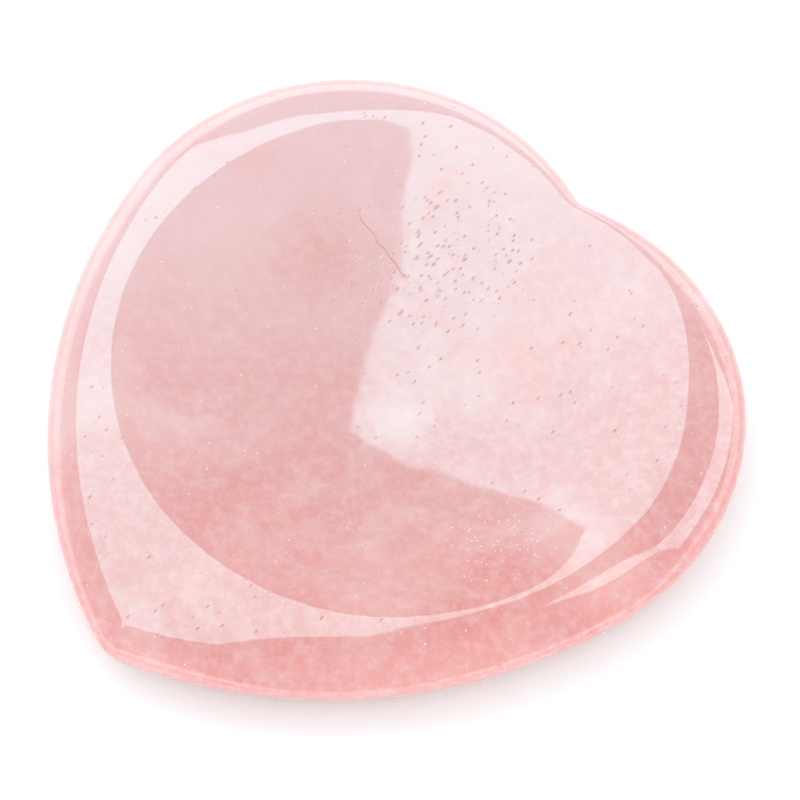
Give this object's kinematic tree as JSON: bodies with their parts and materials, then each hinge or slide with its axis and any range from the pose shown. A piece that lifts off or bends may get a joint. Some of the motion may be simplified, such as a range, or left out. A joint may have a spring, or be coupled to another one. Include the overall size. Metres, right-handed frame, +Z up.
{
  "type": "heart gua sha stone",
  "caption": "Hand-held heart-shaped massage stone with a rounded scraping edge all round and a shallow round thumb hollow in its top.",
  "frame": {"origin": "centre of the flat underside, at the middle of the stone's width and length", "axes": "+Z up through the thickness, out of the thumb hollow; +Y from the tip to the notch; +X to the right-hand lobe"},
  "size_m": [0.04, 0.0398, 0.005],
  "materials": {
    "rose_quartz": "polished rose quartz, cloudy and pale pink"
  },
  "bodies": {
    "root": {"heart_stone": "rose_quartz"}
  },
  "joints": []
}
